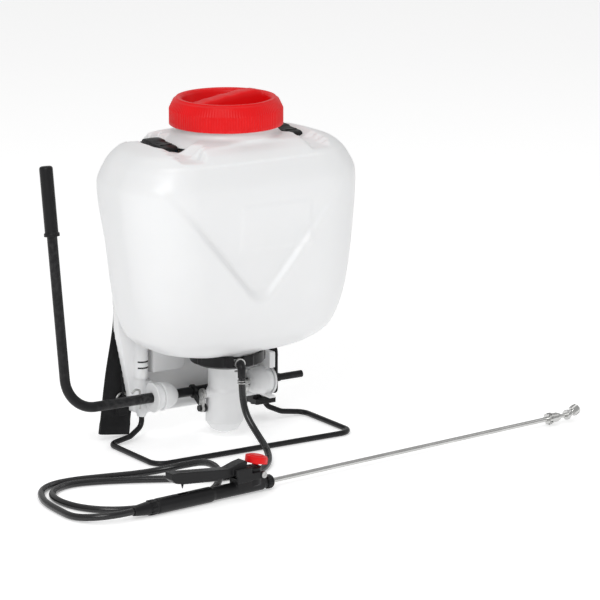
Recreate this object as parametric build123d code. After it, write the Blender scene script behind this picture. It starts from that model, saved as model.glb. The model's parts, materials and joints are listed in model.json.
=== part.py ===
from build123d import *
import math
import os

# A lever-operated backpack sprayer: a moulded tank on a wire stand, a piston pump clamped under it,
# shoulder straps behind, and a hose to a trigger gun and lance that lie on the ground in front.
# Millimetres, +Z up. The origin is on the ground under the filler's axis. The front faces -Y,
# the wearer's back is at +Y, and the pump lever is on the -X side.

# Tank: rounded rectangles as (height, half width, depth to the front, depth to the back, corner radius)
TANK_SECTIONS = [
    (138, 84, 46, 46, 40),
    (148, 123, 65, 62, 55),
    (172, 156, 86, 80, 70),
    (231, 174, 103, 90, 80),
    (302, 184, 108, 93, 85),
    (391, 191, 106, 104, 85),
    (421, 179, 98, 98, 80),
    (440, 160, 88, 91, 76),
    (450, 130, 76, 83, 70),
]
TANK_WALL = 4.0
NECK_R, NECK_TOP = 73.0, 494.0
NECK_BORE_R = NECK_R - TANK_WALL
STRAINER_LEDGE_Z = 468.0
SUMP_R, SUMP_BORE_R, SUMP_BOTTOM = 50.0, 44.0, 134.0
GROOVE_X, GROOVE_W, GROOVE_Z, GROOVE_BACK_Z = 105.0, 32.0, 441.0, 416.0

# Lid
LID_R, LID_BOTTOM, LID_TOP = 82.0, 468.0, 507.0
LID_SKIRT_INNER_R = 78.5
RECESS_R, RECESS_WALL, RECESS_FLOOR = 62.0, 3.0, 481.0
GRIP_BAR_TOP = 514.5

# Pump
SHAFT_Y, SHAFT_Z, SHAFT_R, SHAFT_END_R = 45.0, 66.0, 7.0, 5.25
SHAFT_HALF = 103.0
SPIGOT_START, SPIGOT_TIP, SPIGOT_R = 118.0, 157.0, 5.3
CYL_Y, CYL_R, CYL_FOOT_R, CYL_BORE_R = 8.0, 24.0, 28.0, 19.0
CYL_TOP, CYL_LEDGE, CYL_FLOOR, CYL_TIP = 116.0, 75.0, 29.0, 8.0
CRANK_Y, CRANK_Z, CRANK_SWING = 14.0, 48.0, 60.0
ARM_X, ARM_T = 29.2, 4.0
LINK_X, LINK_T = 33.6, 4.0
PIN_R, PIN_GAP = 3.0, 0.06
LUG_PIN_Z = 70.0
PISTON_Z = 66.3
FLANGE_R = 54.4
OUTLET_X, OUTLET_Y, OUTLET_Z, ELBOW_R, ELBOW_END = -15.5, -65.0, 126.5, 6.0, 108.0
CLIP_X = -121.0

# Stand and base
WIRE_R = 4.0
RISER_X, RISER_Y = 106.0, 66.0
STAND_X, STAND_FRONT, STAND_BACK = 167.0, -78.0, 53.0
BASE_BOTTOM, BASE_TOP = 40.0, 172.0

BUSH_R, BUSH_FLANGE_R = 15.0, 22.0
PLATE_SCREW_Y, PLATE_SCREW_Z = (35.0, 48.0), 104.0
STRAP_T = 5.0
RING_X, RING_Y, RING_Z = 124.0, 91.5, 56.0
HOOK_START, HOOK_BEND = (124.0, 79.0, 102.0), (127.0, 88.0, 96.0)

# Lever
LEVER_X, LEVER_TUBE_R, LEVER_BEND = -241.0, 7.5, 46.0
LEVER_TILT = 8.7
LEVER_LENGTH = 353.0
GRIP_LENGTH, GRIP_R = 101.0, 9.8

# Spray gun and lance: s runs along the gun from its hose end to the nozzle, h is height above the ground
GUN_YAW = 6.14
GUN_POINT = (-248.0, -271.4)
GUN_AXIS_H = 11.0
LANCE_R = 3.5

# Hose: centre line, from the pump's elbow to the gun's hose nut
HOSE_R = 5.0
HOSE_ROUTE = [
    (-15.5, -65, 108), (-15.5, -65, 82), (-14, -74, 54), (-9, -95, 31), (-9, -123, 14), (-25, -154, 6),
    (-52, -180, 5), (-88, -191, 5), (-126, -186, 5), (-162, -167, 5), (-198, -146, 5), (-238, -125, 5),
    (-280, -107, 5), (-317, -98, 5), (-349, -109, 5), (-370.5, -135.5, 5), (-374.5, -171, 5),
    (-365, -208, 5), (-341, -238, 5), (-306, -254, 5), (-262, -255, 5), (-216, -251, 5), (-179, -246, 7.5),
    (-151.5, -227, 16), (-138, -198, 25.5), (-138.5, -163, 25.5), (-154, -134, 16), (-180, -115, 8),
    (-215, -105, 5), (-258, -94.5, 5), (-305, -84, 5), (-344, -87, 5), (-372, -108, 5), (-388, -142, 5),
    (-394, -170, 5), (-395.6, -200, 5), (-396.3, -232.6, 5), (-390.2, -251.1, 6), (-378.3, -266.5, 8),
    (-362, -277.1, 10), (-343, -281.6, 11), (-323.6, -279.5, 11),
]


def ring(r_outer, r_inner, z0, z1):
    """A plain ring on the Z axis between two heights."""
    tall = z1 - z0
    body = Pos(0, 0, z0) * Cylinder(r_outer, tall, align=(Align.CENTER, Align.CENTER, Align.MIN))
    return body - Pos(0, 0, z0) * Cylinder(r_inner, tall, align=(Align.CENTER, Align.CENTER, Align.MIN))


def rod(r, start, end):
    """A round bar between two points."""
    a, b = Vector(start), Vector(end)
    plane = Plane(origin=a, z_dir=(b - a))
    return extrude(plane * Circle(r), (b - a).length)


def turned(points):
    """A solid of revolution about Z from (radius, height) points."""
    outline = Polyline(*[(r, 0, z) for r, z in points], close=True)
    return revolve(make_face(outline), Axis.Z)


def block(x0, x1, y0, y1, z0, z1):
    """A box between two corners."""
    size = Box(x1 - x0, y1 - y0, z1 - z0)
    return Pos((x0 + x1) / 2, (y0 + y1) / 2, (z0 + z1) / 2) * size


def swept(points, radii, r):
    """A round wire or tube along straight runs joined by arcs."""
    path = FilletPolyline(*points, radius=radii)
    start = Plane(origin=path @ 0, z_dir=path % 0)
    return sweep(start * Circle(r), path=path, transition=Transition.RIGHT)


def mirrored(solid):
    """The same solid on both sides of the YZ plane."""
    return [solid, mirror(solid, about=Plane.YZ)]


# ---------------------------------------------------------------- tank, lid and strainer

def tank_body(inset=0.0):
    """The tank's closed outer or inner form."""
    faces = []
    last = len(TANK_SECTIONS) - 1
    for i, (z, half, front, back, r) in enumerate(TANK_SECTIONS):
        lift = inset if i == 0 else (-inset if i == last else 0)
        shape = RectangleRounded(2 * (half - inset), front + back - 2 * inset, r - inset)
        faces.append(Pos(0, (back - front) / 2, z + lift) * shape)
    return loft(faces, ruled=True)


def groove(x, margin):
    """The space a strap anchor lies in: open to the front and stepped down at the back."""
    x0, x1 = x - GROOVE_W / 2 - margin, x + GROOVE_W / 2 + margin
    cut = block(x0, x1, -120, 120, GROOVE_Z - margin, 470)
    return cut + block(x0, x1, 66 - margin, 120, GROOVE_BACK_Z - margin, 470)


def make_tank():
    body = tank_body()
    body += ring(NECK_R, 10, 440, NECK_TOP)
    body += ring(SUMP_R, 10, SUMP_BOTTOM, 142)
    for x in (-GROOVE_X, GROOVE_X):
        body -= groove(x, 0)
    inner = tank_body(TANK_WALL)
    for x in (-GROOVE_X, GROOVE_X):
        inner -= groove(x, TANK_WALL)
    body -= inner
    body -= Pos(0, 0, 470) * Cylinder(NECK_BORE_R, 80)
    body -= Pos(0, 0, 135) * Cylinder(SUMP_BORE_R, 40)
    body += ring(NECK_R, 63.5, STRAINER_LEDGE_Z - 3, STRAINER_LEDGE_Z)
    for z in (475, 484):
        body += ring(75.2, NECK_R - 1, z, z + 2.5)
    return body


def make_lid():
    wall_r = RECESS_R + RECESS_WALL
    lid = turned([
        (0, RECESS_FLOOR - RECESS_WALL), (wall_r, RECESS_FLOOR - RECESS_WALL), (wall_r, 497.6),
        (LID_SKIRT_INNER_R, 497.6), (LID_SKIRT_INNER_R, LID_BOTTOM), (LID_R, LID_BOTTOM),
        (LID_R, 494), (80, 500), (73, LID_TOP), (66, LID_TOP), (RECESS_R + 1, 503),
        (RECESS_R, RECESS_FLOOR), (0, RECESS_FLOOR),
    ])
    with BuildSketch(Plane.XZ) as arch:
        with BuildLine():
            Line((-61, RECESS_FLOOR), (61, RECESS_FLOOR))
            Line((61, RECESS_FLOOR), (61, 503))
            Spline([(61, 503), (45, GRIP_BAR_TOP), (0, 510), (-32, 505.5), (-61, 499)])
            Line((-61, 499), (-61, RECESS_FLOOR))
        make_face()
    bar = extrude(arch.sketch, 13, both=True)
    lid += bar
    lid -= Pos(0, 40, 480) * Cylinder(3, 12)
    return lid


def make_strainer():
    basket = turned([
        (0, 415), (55, 415), (60, 468.5), (68.3, 468.5), (68.3, 472), (58, 472), (53.2, 417), (0, 417),
    ])
    slot = block(30, 70, -3.5, 3.5, 424, 462)
    for i in range(16):
        basket -= Rot(0, 0, i * 22.5) * slot
    return basket


# ---------------------------------------------------------------- base, stand and straps

def make_base():
    """The moulded skirt under the tank: back wall, lower panel, two side legs that run up beside the
    tank, wire sockets, and bearing walls."""
    base = block(-112, 112, 78, 86, BASE_BOTTOM, BASE_TOP) + block(-98, 98, 60, 67, BASE_BOTTOM, 62)
    base += block(-98, 98, 60, 80, BASE_BOTTOM, BASE_BOTTOM + 6)
    with BuildSketch(Plane.XZ) as outline:
        with BuildLine():
            Polyline((94, 40), (116, 40), (120, 62), (130, 106), (139, 150), (143, 166), (143, 232),
                     (94, 232), close=True)
        make_face()
    side = Pos(0, 86, 0) * extrude(outline.sketch, 14)
    side += rod(19, (88, SHAFT_Y, SHAFT_Z), (98.2, SHAFT_Y, SHAFT_Z))
    side += block(88, 98.2, SHAFT_Y, 80, BASE_BOTTOM, 86)
    side += rod(7.2, (RISER_X, RISER_Y, 34), (RISER_X, RISER_Y, 94))
    side += rod(10, (RISER_X, RISER_Y, 92), (RISER_X, RISER_Y, BASE_TOP))
    side -= rod(WIRE_R + 0.15, (RISER_X, RISER_Y, 20), (RISER_X, RISER_Y, 122))
    side -= rod(1.7, HOOK_START, HOOK_BEND)
    for leg in mirrored(side):
        base += leg
    base += block(88, 98.2, 24, 80, BASE_BOTTOM + 8, 112)
    base += block(-89, -33, 60, 79, 97, 152)
    bearing = rod(BUSH_R + 0.02, (80, SHAFT_Y, SHAFT_Z), (100, SHAFT_Y, SHAFT_Z))
    bearing += rod(BUSH_FLANGE_R + 0.2, (60, SHAFT_Y, SHAFT_Z), (88, SHAFT_Y, SHAFT_Z))
    bearing += rod(BUSH_FLANGE_R + 0.5, (98.2, SHAFT_Y, SHAFT_Z), (102, SHAFT_Y, SHAFT_Z))
    for one in mirrored(bearing):
        base -= one
    return base - tank_body()


def stand_path():
    half = [
        (-RISER_X, RISER_Y, 118), (-RISER_X, RISER_Y, 20), (-RISER_X - 24, RISER_Y - 8, 9),
        (-STAND_X, STAND_BACK, WIRE_R), (-STAND_X, STAND_FRONT, WIRE_R),
    ]
    return half + [(-x, y, z) for x, y, z in reversed(half)]


def make_stand():
    radii = [14, 14, 14, 20, 20, 14, 14, 14]
    return swept(stand_path(), radii, WIRE_R)


def make_stand_clamp():
    """A plastic foot under the right leg that keeps the wire in its socket, with its screw head."""
    foot = block(84, 118, 54, 86, 25.5, 33.7)
    foot -= rod(WIRE_R + 0.7, (RISER_X, RISER_Y, 10), (RISER_X, RISER_Y, 40))
    foot += block(84, 93, 64, 86, 33, 39.7)
    return foot + rod(5, (93, 76, 22), (93, 76, 26))


def strap_points(side):
    """Centre points and widths of a shoulder strap, from its anchor down the back to its hem."""
    top = [
        (side * 105, 61.5, 446, 28), (side * 105, 69.5, 443.9, 28), (side * 105, 92, 429, 28),
        (side * 106, 110, 414, 36), (side * 107, 112, 390, 50), (side * 108, 107, 300, 50),
        (side * 106, 103, 215, 50),
    ]
    if side > 0:
        return top + [(106, 100, 165, 50), (106, 97.5, 85, 50), (106, 97, 34, 50)]
    return top + [(-108, 100, 165, 50), (-124, 97.5, 85, 50), (-135, 97, 4, 50)]


def make_strap(side):
    rows = strap_points(side)
    faces = []
    for i, (x, y, z, width) in enumerate(rows):
        before, after = rows[max(i - 1, 0)], rows[min(i + 1, len(rows) - 1)]
        run = Vector(*after[:3]) - Vector(*before[:3])
        plane = Plane(origin=(x, y, z), x_dir=(1, 0, 0), z_dir=run.normalized())
        faces.append(plane * Rectangle(width, STRAP_T))
    return loft(faces, ruled=True)


def make_strap_anchors():
    """Black hooks in the tank's shoulder grooves that carry the tops of the straps."""
    bar = block(GROOVE_X - 13, GROOVE_X + 13, -36, 61, GROOVE_Z + 0.2, 455)
    bar = fillet(bar.edges().filter_by(Axis.Z), 8)
    bar = fillet(bar.faces().sort_by(Axis.Z)[-1].edges(), 3)
    return Compound(children=mirrored(bar))


def make_strap_rings():
    """Steel rings that join each strap to its wire hook."""
    path = Plane(origin=(RING_X, RING_Y, RING_Z), z_dir=(0, -1, 0)).location * CenterArc((0, 0), 10, 0, 360)
    start = Plane(origin=path @ 0, z_dir=path % 0)
    return Compound(children=mirrored(sweep(start * Circle(1.5), path=path)))


def make_strap_tabs():
    """Webbing tabs sewn to the straps, folded round the rings."""
    tab = block(RING_X - 9, RING_X + 9, 89, 94.4, RING_Z - 24, RING_Z - 6.5)
    ring_path = Plane(origin=(RING_X, RING_Y, RING_Z), z_dir=(0, -1, 0)).location * CenterArc((0, 0), 10, 0, 360)
    start = Plane(origin=ring_path @ 0, z_dir=ring_path % 0)
    tab -= sweep(start * Circle(1.8), path=ring_path)
    return Compound(children=mirrored(tab))


def make_strap_hooks():
    """Bent wire hooks screwed to the base's sides that the rings hang on."""
    points = [HOOK_START, HOOK_BEND, (125, 87.4, 80), (RING_X, 87.4, 61.8), (RING_X, 94, 61.8)]
    wire = swept(points, [4, 8, 2], 1.5)
    return Compound(children=mirrored(wire))


# ---------------------------------------------------------------- pump

def make_clamp_ring():
    """Screw ring on the tank's sump that holds the pump. A slot lets the outlet through."""
    body = turned([
        (39, 115), (44, 115), (FLANGE_R, 120), (FLANGE_R, 136), (SUMP_R + 0.4, 136), (SUMP_R + 0.4, 121.3),
        (39, 121.3),
    ])
    for i in range(8):
        body += Rot(0, 0, i * 45 + 10) * block(FLANGE_R - 1, FLANGE_R + 1.2, -2, 2, 121, 134)
    turn = math.degrees(math.atan2(OUTLET_Y, OUTLET_X))
    return body - Rot(0, 0, turn) * block(45, 60, -7.2, 7.2, 119.8, 140)


def make_flange_seal():
    return ring(SUMP_R - 0.5, SUMP_BORE_R + 0.5, 131.5, SUMP_BOTTOM)


def make_pump_head():
    """Flange, guide tube and closed top of the pump, with the spigot for the outlet elbow."""
    head = ring(49.8, 12, 121.5, 131.5) + ring(38.6, 12, 115.5, 121.5)
    head += Pos(0, CYL_Y, 0) * ring(30, 12, 131, 163)
    head += rod(30, (0, CYL_Y, 160.5), (0, CYL_Y, 165))
    head -= rod(26, (0, CYL_Y, 110), (0, CYL_Y, 160.5))
    head += rod(10, (0, CYL_Y, 148), (0, CYL_Y, 161))
    head -= rod(3.5, (0, CYL_Y, 140), (0, CYL_Y, 180))
    out = outlet_dir()
    level = Vector(0, 0, OUTLET_Z)
    return head + rod(4.0, out * 45 + level, out * 55 + level)


def make_pressure_chamber():
    shell = Pos(0, 4, 0) * (ring(38.5, 36, 131.5, 320) + rod(38.5, (0, 0, 319.5), (0, 0, 324.5)))
    return fillet(shell.edges().group_by(Axis.Z)[-1], 2.2)


def make_piston_tube():
    tube = rod(7, (0, CYL_Y, PISTON_Z + 14.7), (0, CYL_Y, 148))
    return tube - rod(3.5, (0, CYL_Y, PISTON_Z + 10), (0, CYL_Y, 150))


def make_piston():
    low, high = PISTON_Z, PISTON_Z + 14.7
    body = rod(18.4, (0, CYL_Y, low), (0, CYL_Y, high))
    groove = Pos(0, CYL_Y, 0) * ring(18.6, 16.2, low + 5, low + 9)
    body -= groove
    body -= rod(5.2, (0, CYL_Y, low - 1), (0, CYL_Y, low + 11))
    return body - rod(3.5, (0, CYL_Y, low + 10), (0, CYL_Y, high + 1))


def make_piston_seal():
    return Pos(0, CYL_Y, 0) * ring(CYL_BORE_R - 0.06, 16.3, PISTON_Z + 5.2, PISTON_Z + 8.8)


def make_valve_ball():
    return Pos(0, CYL_Y, PISTON_Z + 5.5) * Sphere(4.8)


def make_cylinder():
    """The moving barrel: upper bore, ledge, flared foot with a cone, and the lugs for the links."""
    body = turned([
        (CYL_BORE_R, CYL_TOP), (CYL_R, CYL_TOP), (CYL_R, CYL_LEDGE + 3), (CYL_FOOT_R - 1.5, CYL_LEDGE - 2),
        (CYL_FOOT_R, 27), (20, 15), (4, CYL_TIP), (0, CYL_TIP), (0, CYL_FLOOR), (CYL_BORE_R, CYL_FLOOR),
    ])
    lug = rod(5.5, (CYL_R - 3, 0, LUG_PIN_Z), (LINK_X - 0.4, 0, LUG_PIN_Z))
    for one in mirrored(lug):
        body += one
    for hole in mirrored(rod(PIN_R, (CYL_R - 2, 0, LUG_PIN_Z), (CYL_R + 20, 0, LUG_PIN_Z))):
        body -= hole
    return Pos(0, CYL_Y, 0) * body


def make_lug_pins():
    """Headed pins in the barrel's lugs that the links' upper eyes turn on."""
    x0, x1 = CYL_R - 2, LINK_X + LINK_T + 0.4
    pin = rod(PIN_R, (x0, CYL_Y, LUG_PIN_Z), (x1, CYL_Y, LUG_PIN_Z))
    pin += rod(4.8, (x1, CYL_Y, LUG_PIN_Z), (x1 + 2.2, CYL_Y, LUG_PIN_Z))
    return Compound(children=mirrored(pin))


def crank_radius():
    return math.hypot(CRANK_Y - SHAFT_Y, CRANK_Z - SHAFT_Z)


def make_link(side):
    """A link from a crank pin up to a lug pin. Its upper eye is a short slot, as long as the crank
    pin's sideways travel, because the link stays upright."""
    sideways = crank_radius() * (1 - math.cos(math.radians(CRANK_SWING / 2)))
    low = Vector(LINK_X, CRANK_Y, CRANK_Z)
    top = Vector(LINK_X, CYL_Y + sideways / 2, LUG_PIN_Z)
    through = Vector(LINK_T, 0, 0)
    body = rod(6.2, low, low + through) + rod(8.0, top, top + through)
    lean = math.degrees(math.atan2(low.Y - top.Y, top.Z - low.Z))
    middle = (low + top) * 0.5
    body += Pos(LINK_X + LINK_T / 2, middle.Y, middle.Z) * Rot(lean, 0, 0) * Box(LINK_T, 9, 24)
    body -= rod(PIN_R + PIN_GAP, low - through, low + through * 2)
    slot = block(-LINK_T, 2 * LINK_T, -sideways / 2 - 0.2, sideways / 2 + 0.2, -PIN_R - 0.5, PIN_R + 0.5)
    for shift in (-sideways / 2 - 0.2, sideways / 2 + 0.2):
        slot += rod(PIN_R + 0.5, (-LINK_T, shift, 0), (2 * LINK_T, shift, 0))
    body -= Pos(top.X, top.Y, top.Z) * slot
    return body if side > 0 else mirror(body, about=Plane.YZ)


def make_shaft():
    """Pump shaft with two welded crank arms and their headed pins. Its ends are turned down: the right
    one is a spare spigot for a lever on the other side."""
    shaft = rod(SHAFT_R, (-SHAFT_HALF, SHAFT_Y, SHAFT_Z), (SHAFT_HALF, SHAFT_Y, SHAFT_Z))
    shaft += rod(SHAFT_END_R, (-162, SHAFT_Y, SHAFT_Z), (-SHAFT_HALF, SHAFT_Y, SHAFT_Z))
    shaft += rod(6.2, (SHAFT_HALF, SHAFT_Y, SHAFT_Z), (SPIGOT_START, SHAFT_Y, SHAFT_Z))
    shaft += rod(SPIGOT_R, (SPIGOT_START, SHAFT_Y, SHAFT_Z), (SPIGOT_TIP, SHAFT_Y, SHAFT_Z))
    lean = math.degrees(math.atan2(CRANK_Z - SHAFT_Z, CRANK_Y - SHAFT_Y))
    arm = Pos(ARM_X + ARM_T / 2, (CRANK_Y + SHAFT_Y) / 2, (CRANK_Z + SHAFT_Z) / 2)
    arm = arm * Rot(lean, 0, 0) * Box(ARM_T, crank_radius(), 11)
    arm += rod(6.5, (ARM_X, CRANK_Y, CRANK_Z), (ARM_X + ARM_T, CRANK_Y, CRANK_Z))
    arm += rod(10, (ARM_X, SHAFT_Y, SHAFT_Z), (ARM_X + ARM_T, SHAFT_Y, SHAFT_Z))
    pin_end = LINK_X + LINK_T + 0.4
    arm += rod(PIN_R, (ARM_X, CRANK_Y, CRANK_Z), (pin_end, CRANK_Y, CRANK_Z))
    arm += rod(4.6, (pin_end, CRANK_Y, CRANK_Z), (pin_end + 2.6, CRANK_Y, CRANK_Z))
    for one in mirrored(arm):
        shaft += one
    return shaft - rod(1.7, (CLIP_X, SHAFT_Y, SHAFT_Z - 12), (CLIP_X, SHAFT_Y, SHAFT_Z + 12))


def make_bush(side):
    """Domed bearing bush pressed into the base's bearing wall."""
    bore = SHAFT_R + 0.05
    dome = turned([(bore, 62), (10, 62), (14.5, 66), (18.5, 74), (21, 84), (21.5, 87.9), (bore, 87.9)])
    collar = ring(BUSH_R, bore, 87.9, 98.2) + ring(BUSH_FLANGE_R, bore, 98.3, 101.5)
    collar += ring(BUSH_R - 1, bore, 98, 98.5)
    bush = Pos(0, SHAFT_Y, SHAFT_Z) * Rot(0, 90, 0) * (dome + collar)
    return bush if side > 0 else mirror(bush, about=Plane.YZ)


def make_side_plate():
    """Black guard plate over the right bearing, with a gusset under the shaft's spigot."""
    plate = block(101.8, 104.8, 27, 55.3, 46, 119)
    plate = fillet(plate.edges().filter_by(Axis.X), 9)
    plate += block(98.4, 102, 30, 53, 93, 116)
    plate -= rod(SHAFT_R + 0.4, (90, SHAFT_Y, SHAFT_Z), (130, SHAFT_Y, SHAFT_Z))
    for y in PLATE_SCREW_Y:
        plate -= rod(2.05, (90, y, PLATE_SCREW_Z), (110, y, PLATE_SCREW_Z))
    with BuildSketch(Plane.XZ.offset(-SHAFT_Y)) as web:
        with BuildLine():
            Polyline((104.5, SHAFT_Z - 7.6), (116, SHAFT_Z - 7.6), (104.5, SHAFT_Z - 20), close=True)
        make_face()
    return plate + extrude(web.sketch, 2, both=True)


def make_side_plate_screws():
    screws = []
    for y in PLATE_SCREW_Y:
        z = PLATE_SCREW_Z
        screws.append(rod(3.8, (104.8, y, z), (107.6, y, z)) + rod(2, (98.3, y, z), (104.9, y, z)))
    return Compound(children=screws)


# ---------------------------------------------------------------- pump lever

def lever_direction():
    tilt = math.radians(LEVER_TILT)
    return Vector(0, math.sin(tilt), math.cos(tilt))


def make_lever_tube():
    base = Vector(LEVER_X, SHAFT_Y, SHAFT_Z)
    top = base + lever_direction() * (LEVER_LENGTH - 6)
    start = Vector(-SHAFT_HALF - 0.3, SHAFT_Y, SHAFT_Z)
    tube = swept([start, base, top], [LEVER_BEND], LEVER_TUBE_R)
    tube -= rod(SHAFT_END_R + 0.1, start + Vector(2, 0, 0), Vector(-165, SHAFT_Y, SHAFT_Z))
    return tube - rod(1.7, (CLIP_X, SHAFT_Y, SHAFT_Z - 12), (CLIP_X, SHAFT_Y, SHAFT_Z + 12))


def make_lever_grip():
    base = Vector(LEVER_X, SHAFT_Y, SHAFT_Z)
    up = lever_direction()
    low, high = base + up * (LEVER_LENGTH - GRIP_LENGTH), base + up * LEVER_LENGTH
    grip = rod(GRIP_R, low, high)
    grip = fillet(grip.edges().sort_by(Axis.Z)[-1], 4)
    grip += rod(GRIP_R + 1.6, low, low + up * 5)
    return grip - rod(LEVER_TUBE_R, low - up, base + up * (LEVER_LENGTH - 5.5))


def make_lever_clip():
    """Spring clip: a straight leg through the lever and shaft, and a bent leg beside the tube."""
    x, y, z = CLIP_X, SHAFT_Y, SHAFT_Z
    leg = [(x, y, z - 14), (x, y, z + 14), (x - 7, y, z + 16), (x - 13, y, z + 11)]
    return swept(leg, [3, 3], 1.5)


# ---------------------------------------------------------------- outlet and hose

def outlet_dir():
    return Vector(OUTLET_X, OUTLET_Y, 0).normalized()


def make_elbow():
    level = Vector(0, 0, OUTLET_Z)
    start = outlet_dir() * 50.4 + level
    elbow = swept([start, (OUTLET_X, OUTLET_Y, OUTLET_Z), (OUTLET_X, OUTLET_Y, ELBOW_END)], [7.5], ELBOW_R)
    return elbow - rod(4.05, outlet_dir() * 49 + level, outlet_dir() * 55.1 + level)


def make_clamp(r):
    """Two-wire hose clamp with its screw, on the Z axis."""
    band = ring(r + 1.3, r, -2.4, -1) + ring(r + 1.3, r, 1, 2.4)
    ears = block(r + 0.7, r + 6.4, -3.2, 3.2, -2.4, 2.4) - block(r + 0.4, r + 8, -1.6, 1.6, -5, 5)
    screw = rod(1.3, (r + 4, -8, 0), (r + 4, 7, 0)) + rod(2.6, (r + 4, 7, 0), (r + 4, 9.4, 0))
    return band + ears + screw


def make_hose_clamps():
    """One clamp round the hose's end and one round the elbow's inner end."""
    lower = Pos(OUTLET_X, OUTLET_Y, 102) * Rot(0, 0, -40) * make_clamp(HOSE_R + 0.05)
    at = outlet_dir() * 58.2 + Vector(0, 0, OUTLET_Z)
    upper = Plane(origin=at, z_dir=outlet_dir(), x_dir=(0, 0, -1)).location * make_clamp(ELBOW_R + 0.5)
    return Compound(children=[lower, upper])


def hose_radii():
    radii = []
    pts = [Vector(*p) for p in HOSE_ROUTE]
    for a, b, c in zip(pts, pts[1:], pts[2:]):
        turn = (b - a).get_angle(c - b)
        shorter = min((b - a).length, (c - b).length)
        radii.append(0.45 * shorter / math.tan(math.radians(turn / 2)))
    return radii


def make_hose():
    radii = hose_radii()
    path = FilletPolyline(*HOSE_ROUTE, radius=radii)
    start = Plane(origin=path @ 0, z_dir=path % 0)
    hose = sweep(start * Circle(HOSE_R), path=path)
    print("hose length", round(path.length, 1), "least radius", round(min(radii), 1))
    print("hose radii", [round(r) for r in radii])
    print("hose volume over section x length", round(hose.volume / (math.pi * HOSE_R**2 * path.length), 4))
    return hose


# ---------------------------------------------------------------- spray gun and lance

def gun_plane():
    """Local frame of the gun: X along it towards the nozzle, Z up, origin on its axis."""
    yaw = math.radians(GUN_YAW)
    origin = (GUN_POINT[0], GUN_POINT[1], GUN_AXIS_H)
    return Plane(origin=origin, x_dir=(math.cos(yaw), math.sin(yaw), 0), z_dir=(0, 0, 1))


def along(r_points):
    """A turned solid along the gun's axis from (s, radius) points, closed on the axis."""
    first, last = r_points[0][0], r_points[-1][0]
    pts = [(first, 0)] + r_points + [(last, 0)]
    outline = Polyline(*[(s, 0, r) for s, r in pts], close=True)
    return revolve(make_face(outline), Axis.X)


def gun(solid):
    return gun_plane().location * solid


def make_hose_nut():
    nut = along([(-76, 6.6), (-70, 7.6), (-42, 10.4), (-38.3, 10.4)])
    for i in range(12):
        nut += Rot(i * 30, 0, 0) * block(-50, -39, -1, 1, 9.5, 10.8)
    return gun(nut)


HEAD_S, PIVOT_S, PIVOT_H = 130.0, 138.0, 17.0
GUN_COLLAR_S, STEM_S = 153.0, 104.0
KNOB_S, KNOB_H, KNOB_LEAN = 136.5, 36.5, 10.0


def make_gun_body():
    """Grip tube with its valve head. Heights here are above the gun's axis."""
    body = along([(-38, 10.2), (-36, 11), (55, 11), (60, 9.6), (146, 9.6), (148, 8.2), (152.7, 8.2)])
    body += Pos(HEAD_S - 8, 0, 8) * Box(50, 20, 16)
    body += Pos(HEAD_S, 0, 14.5) * Cylinder(12.4, 25)
    body -= rod(PIN_R + PIN_GAP, (PIVOT_S, -20, PIVOT_H), (PIVOT_S, 20, PIVOT_H))
    body -= rod(2.06, (STEM_S, 0, -1), (STEM_S, 0, 30))
    body -= block(0, 16, -3.5, 3.5, 2.5, 12)
    body -= along([(120, LANCE_R + 0.05), (160, LANCE_R + 0.05)])
    return gun(body)


def make_trigger():
    """Squeeze lever: a long bar over the grip, a hump, and two cheeks on the pivot pin."""
    with BuildSketch(Plane.XZ) as side:
        with BuildLine():
            Polyline((-15, 43), (-15, 34), (-8, 28), (6, 25), (52, 20.4), (84, 20.4), (96, 22), (112, 22),
                     (114, 30), (115, 37), (112, 40), (100, 38), (82, 33), (38, 38), (0, 42.5), close=True)
        make_face()
    bar = extrude(side.sketch, 8.5, both=True)
    tooth = Pos(8, 0, 21.5) * Cone(0.8, 2.6, 9)
    cheek = block(92, 118, 12.8, 15.8, 11, 31) + block(117, PIVOT_S, 12.8, 15.8, 12, 22)
    cheek += rod(5, (PIVOT_S, 12.8, PIVOT_H), (PIVOT_S, 15.8, PIVOT_H)) + block(90, 112, 8, 15.8, 22, 31)
    lever = bar + tooth
    for one in (cheek, mirror(cheek, about=Plane.XZ)):
        lever += one
    return gun(lever - rod(PIN_R + PIN_GAP, (PIVOT_S, -20, PIVOT_H), (PIVOT_S, 20, PIVOT_H)))


def make_trigger_pin():
    pin = rod(PIN_R, (PIVOT_S, -17.5, PIVOT_H), (PIVOT_S, 17.5, PIVOT_H))
    for y in (-17.6, 16.1):
        pin += rod(4.6, (PIVOT_S, y, PIVOT_H), (PIVOT_S, y + 1.5, PIVOT_H))
    return gun(pin)


def make_valve_stem():
    stem = rod(2.0, (STEM_S, 0, 3), (STEM_S, 0, 19.6)) + rod(3.6, (STEM_S, 0, 19.6), (STEM_S, 0, 21.7))
    return gun(stem)


def make_lock_knob():
    """Red turning knob on the valve head, with a pointer tab."""
    knob = Cylinder(15.4, 9.5) + Pos(0, 0, 5) * Cylinder(11.5, 2.5)
    knob = fillet(knob.edges().group_by(Axis.Z)[-1], 1.2)
    knob += Pos(15.5, 0, -3.2) * Box(8, 6, 9)
    stem = Pos(0, 0, -6.2) * Cylinder(5, 3)
    return gun(Pos(KNOB_S, 0, KNOB_H) * Rot(0, KNOB_LEAN, 0) * (knob + stem))


def make_lance_nut():
    """Knurled collar that clamps the lance into the gun."""
    nut = along([(GUN_COLLAR_S, 8.9), (154, 9.4), (161.5, 9.4), (163, 8.4)])
    nut -= along([(GUN_COLLAR_S - 1, LANCE_R + 0.08), (164, LANCE_R + 0.08)])
    for i in range(16):
        nut += Rot(i * 22.5, 0, 0) * block(154.5, 161, -0.8, 0.8, 9, 9.9)
    return gun(nut)


def make_lance():
    tube = along([(120.5, LANCE_R), (690, LANCE_R)]) - along([(120, 2.6), (691, 2.6)])
    return gun(tube)


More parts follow.
